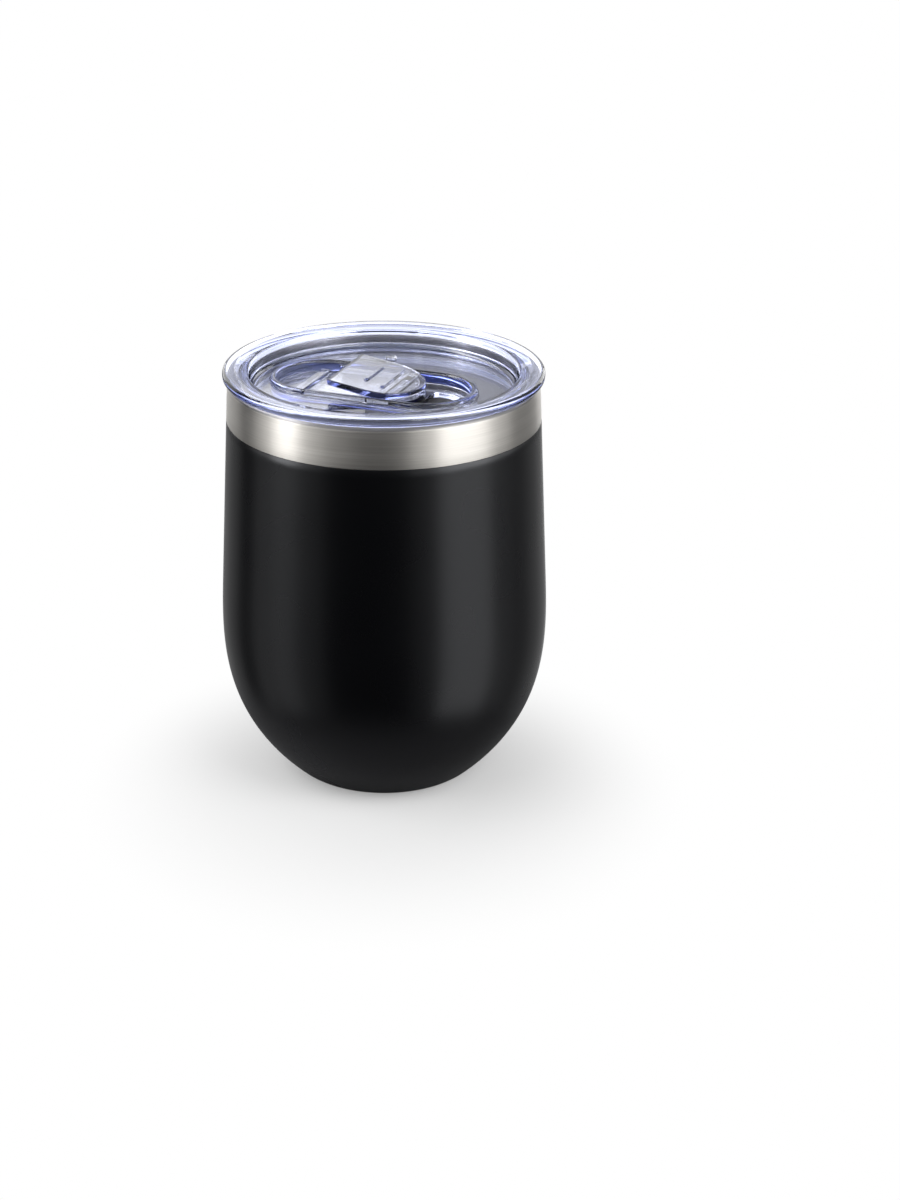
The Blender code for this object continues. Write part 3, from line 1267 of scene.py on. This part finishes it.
@dataclass
class Studio:
    """A white tent: a pale paper floor and soft panels all round the cup.

    The camera sees floor and backdrop as the same white, straight and through the clear lid. For
    reflections the table is glass a little way from the cup, so that panels below it light the
    steel and the coat from under their middle. Azimuths are degrees from the camera's side,
    positive to the camera's right, and each panel's last value is its radiance.
    """

    floor_half: float = 12000.0
    floor_colour: str = "#B8B8B8"
    floor_bounce: str = "#6E6E70"
    world_light: str = "#202124"
    shadow_centre: Triple = (6.2, -16.9, 0.0)
    shadow_ends: tuple[float, float] = (25.0, 85.0)
    shadow_lift: float = 0.3
    glass_ends: tuple[float, float] = (45.0, 90.0)
    wall_distance: float = 750.0
    upper_height: float = 350.0
    upper_size: Point = (264.0, 660.0)
    lower_height: float = -330.0
    lower_size: Point = (264.0, 640.0)
    # Azimuth, and the radiance of the panels above and below the table.
    wall: tuple[tuple[int, float, float], ...] = (
        (-170, 0.5, 0.8),
        (-150, 1.7, 0.3),
        (-130, 0.9, 0.2),
        (-90, 0.9, 0.3),
        (-70, 5.0, 0.5),
        (-50, 0.5, 0.2),
        (30, 0.7, 0.1),
        (50, 3.7, 1.1),
        (70, 4.1, 1.0),
        (90, 1.6, 0.2),
        (110, 0.5, 0.1),
        (130, 0.4, 0.2),
        (150, 2.6, 0.3),
        (170, 0.5, 0.8),
    )
    card_aim: float = 110.0
    # Small cards whose light lies on the closure's flap and on its plate.
    cards: tuple[tuple[str, Triple, Point, float], ...] = (
        ("flap_card", (176.5, 760, 434), (110, 60), 1.1),
        ("plate_card", (-174, 760, 360), (80, 60), 1.2),
    )
    overhead_distance: float = 800.0
    overhead_height: float = 950.0
    overhead_size: Point = (620.0, 500.0)
    overhead_aim: float = 60.0
    overhead: tuple[tuple[int, float], ...] = (
        (-135, 5.1),
        (-90, 8.7),
        (-45, 4.2),
        (0, 1.5),
        (45, 6.6),
        (90, 1.5),
    )

    def seen_share(self, tree: bpy.types.NodeTree) -> bpy.types.NodeSocket:
        """Tells what the camera sees from what lights the cup.

        Args:
            tree: The node tree.

        Returns:
            1 for rays from the camera, straight or through clear plastic, and 0 for the rest.
        """
        ray = add_node(tree, "ShaderNodeLightPath")
        return add_node(
            tree,
            "ShaderNodeMath",
            {"operation": "MAXIMUM"},
            {0: ray.outputs["Is Camera Ray"], 1: ray.outputs["Is Transmission Ray"]},
        ).outputs["Value"]

    def glass_share(
        self, tree: bpy.types.NodeTree, away: bpy.types.NodeSocket
    ) -> bpy.types.NodeSocket:
        """How far the table lets reflections and light through, as a glass table does.

        Args:
            tree: The floor's node tree.
            away: The distance from the cup's axis, in metres.

        Returns:
            0 under the cup and for what the camera sees, up to 1 for the rest further off.
        """
        ray = add_node(tree, "ShaderNodeLightPath").outputs
        mirrored = add_node(
            tree,
            "ShaderNodeMath",
            {"operation": "MAXIMUM"},
            {0: ray["Is Glossy Ray"], 1: ray["Is Shadow Ray"]},
        ).outputs["Value"]
        near, far = self.glass_ends
        open_share = add_node(
            tree,
            "ShaderNodeMapRange",
            {"interpolation_type": "SMOOTHSTEP"},
            {"Value": away, "From Min": near * MM, "From Max": far * MM},
        ).outputs["Result"]
        return add_node(
            tree, "ShaderNodeMath", {"operation": "MULTIPLY"}, {0: mirrored, 1: open_share}
        ).outputs["Value"]

    def build_floor(self) -> None:
        """The paper floor under the cup, which runs out into plain white further off."""
        shape = bmesh.new()
        bmesh.ops.create_grid(shape, x_segments=1, y_segments=1, size=self.floor_half * MM)
        material, tree = empty_material("studio_paper")
        seen = self.seen_share(tree)
        colour = add_node(
            tree,
            "ShaderNodeMix",
            {"data_type": "RGBA"},
            {"Factor": seen, 6: linear(self.floor_bounce), 7: linear(self.floor_colour)},
        ).outputs[2]
        paper = add_node(tree, "ShaderNodeBsdfDiffuse", sockets={"Color": colour, "Roughness": 1.0})
        white = add_node(tree, "ShaderNodeEmission", sockets={"Color": linear("#FFFFFF")})
        place = add_node(tree, "ShaderNodeTexCoord").outputs["Object"]
        away = add_node(
            tree, "ShaderNodeVectorMath", {"operation": "LENGTH"}, {0: place}
        ).outputs["Value"]
        beside = add_node(
            tree,
            "ShaderNodeVectorMath",
            {"operation": "DISTANCE"},
            {0: place, 1: [c * MM for c in self.shadow_centre]},
        ).outputs["Value"]
        near, far = self.shadow_ends
        fade = add_node(
            tree,
            "ShaderNodeMapRange",
            {"interpolation_type": "SMOOTHSTEP"},
            {
                "Value": beside,
                "From Min": near * MM,
                "From Max": far * MM,
                "To Min": self.shadow_lift,
            },
        ).outputs["Result"]
        share = add_node(
            tree, "ShaderNodeMath", {"operation": "MULTIPLY"}, {0: fade, 1: seen}
        ).outputs["Value"]
        sheet = add_node(
            tree,
            "ShaderNodeMixShader",
            sockets={0: share, 1: paper.outputs["BSDF"], 2: white.outputs["Emission"]},
        ).outputs["Shader"]
        shader = add_node(
            tree,
            "ShaderNodeMixShader",
            sockets={
                0: self.glass_share(tree, away),
                1: sheet,
                2: add_node(tree, "ShaderNodeBsdfTransparent").outputs["BSDF"],
            },
        )
        add_node(tree, "ShaderNodeOutputMaterial", sockets={"Surface": shader.outputs["Shader"]})
        floor = new_piece("studio_floor", shape, material)

    def build_world(self) -> None:
        """Plain even light from all round."""
        world = bpy.data.worlds.new("studio_world")
        bpy.context.scene.world = world
        world.use_nodes = True
        tree = world.node_tree
        tree.nodes.clear()
        colour = add_node(
            tree,
            "ShaderNodeMix",
            {"data_type": "RGBA"},
            {"Factor": self.seen_share(tree), 6: linear(self.world_light), 7: linear("#FFFFFF")},
        ).outputs[2]
        shader = add_node(tree, "ShaderNodeBackground", sockets={"Color": colour})
        add_node(tree, "ShaderNodeOutputWorld", sockets={"Surface": shader.outputs["Background"]})

    def panel(self, name: str, place: Triple, size: Point, aim: float, radiance: float) -> None:
        """Adds a rectangular soft light that faces the cup and stays out of the picture.

        Args:
            name: The light's name.
            place: Its azimuth in degrees from the camera's side, positive to the camera's right,
                its distance from the cup's axis and its height, in millimetres.
            size: Its width and height in millimetres.
            aim: The height on the cup's axis that it faces, in millimetres.
            radiance: How bright its face is, in watts for each square metre and steradian.
        """
        azimuth, distance, height = place
        light = bpy.data.lights.new(name, "AREA")
        light.shape = "RECTANGLE"
        light.size, light.size_y = size[0] * MM, size[1] * MM
        light.energy = radiance * math.pi * light.size * light.size_y
        lamp = bpy.data.objects.new(name, light)
        bpy.context.scene.collection.objects.link(lamp)
        turn = math.radians(azimuth) + PhotoCamera.azimuth
        spot = Vector((math.sin(turn) * distance, -math.cos(turn) * distance, height))
        lamp.location = spot * MM
        lamp.rotation_mode = "QUATERNION"
        lamp.rotation_quaternion = (Vector((0, 0, aim)) - spot).to_track_quat("-Z", "Y")
        lamp.visible_camera = False

    def build(self) -> None:
        """Sets up the floor, the world and the lights."""
        self.build_floor()
        self.build_world()
        for azimuth, upper, lower in self.wall:
            place = (azimuth, self.wall_distance, self.upper_height)
            self.panel(f"wall_{azimuth}", place, self.upper_size, self.upper_height, upper)
            place = (azimuth, self.wall_distance, self.lower_height)
            self.panel(f"glow_{azimuth}", place, self.lower_size, self.lower_height, lower)
        for azimuth, radiance in self.overhead:
            place = (azimuth, self.overhead_distance, self.overhead_height)
            self.panel(
                f"overhead_{azimuth}", place, self.overhead_size, self.overhead_aim, radiance
            )
        for name, place, size, radiance in self.cards:
            self.panel(name, place, size, self.card_aim, radiance)


@dataclass
class PhotoCamera:
    """The camera of the photograph, fitted to the cup's outline."""

    azimuth: float = math.radians(20.0)
    place: Triple = (17.786, -504.861, 275.394)
    pitch: float = 65.671
    roll: float = 0.644
    lens: float = 60.88
    sensor: float = 36.0
    nearest: float = 10.0

    def build(self) -> None:
        """Adds the camera, turned about Z so that the lid's track lies along X."""
        data = bpy.data.cameras.new("photo_camera")
        data.lens = self.lens
        data.sensor_width = self.sensor
        data.clip_start = self.nearest * MM
        camera = bpy.data.objects.new("photo_camera", data)
        bpy.context.scene.collection.objects.link(camera)
        place = Matrix.Translation(Vector(self.place) * MM)
        pitch = Matrix.Rotation(math.radians(self.pitch), 4, "X")
        roll = Matrix.Rotation(math.radians(self.roll), 4, "Z")
        camera.matrix_world = Matrix.Rotation(self.azimuth, 4, "Z") @ place @ pitch @ roll
        bpy.context.scene.camera = camera


def main() -> None:
    """Builds the studio and the pieces."""
    logging.basicConfig(level=logging.INFO, format="%(name)s: %(message)s")
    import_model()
    bpy.context.scene.view_settings.view_transform = "Standard"
    PhotoCamera().build()
    Studio().build()
    Cup(BrushedSteel(), PowderCoat()).build()
    Lid(ClearCopolyester()).build()
    Gasket(MouldedSilicone()).build()
    Slider(ClearCopolyester(name="clear_copolyester_closure")).build()


if __name__ == "__main__":
    main()
